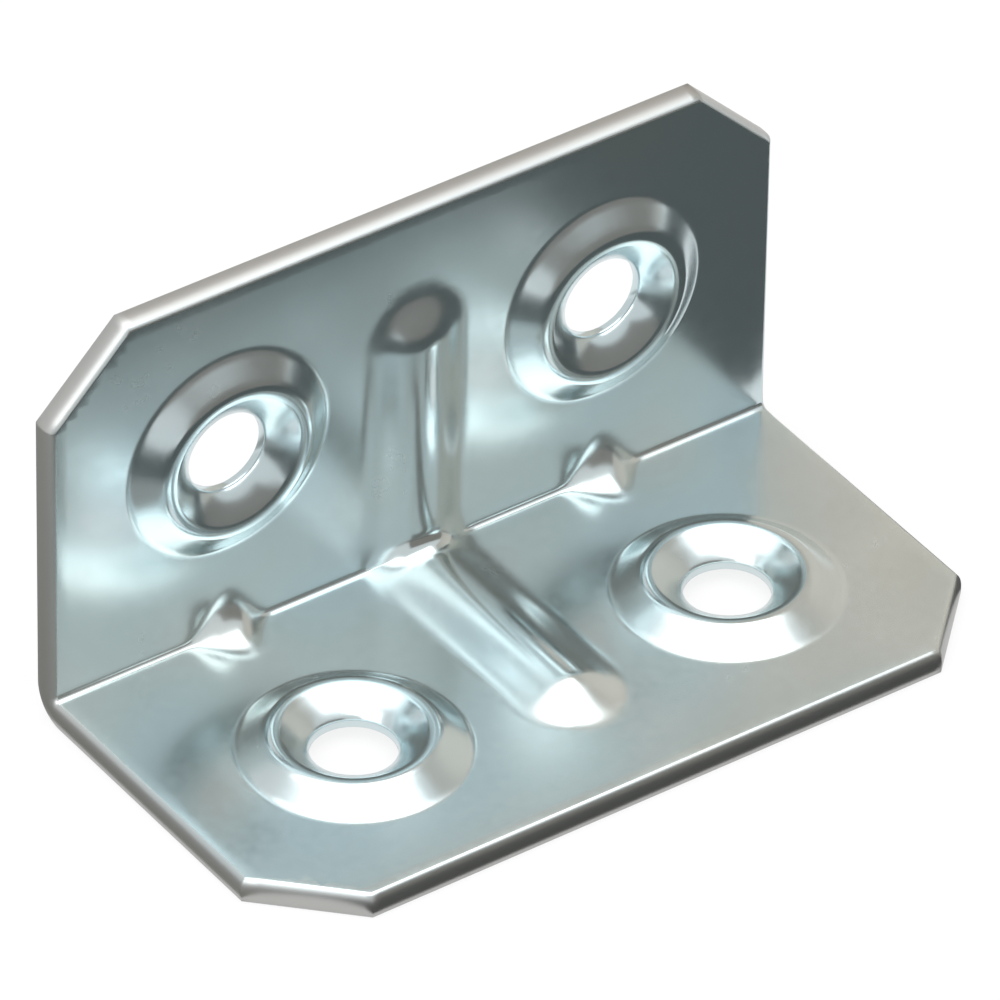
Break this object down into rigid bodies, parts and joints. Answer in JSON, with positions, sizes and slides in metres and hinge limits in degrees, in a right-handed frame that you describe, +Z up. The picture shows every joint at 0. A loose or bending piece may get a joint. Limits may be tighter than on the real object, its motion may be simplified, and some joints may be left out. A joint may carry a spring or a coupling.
{
  "type": "corner brace bracket",
  "caption": "Right-angle corner brace pressed from zinc-plated sheet steel, with dished screw holes in raised rings, a stiffening rib across the fold and small gussets.",
  "frame": {"origin": "under the middle of the foot, on its underside", "axes": "+X along the fold, +Y from the foot towards the back of the upright, +Z up the upright"},
  "size_m": [0.05, 0.026, 0.026],
  "materials": {
    "zinc_plate": "satin bluish zinc plating"
  },
  "bodies": {
    "root": {"bracket": "zinc_plate"}
  },
  "joints": []
}
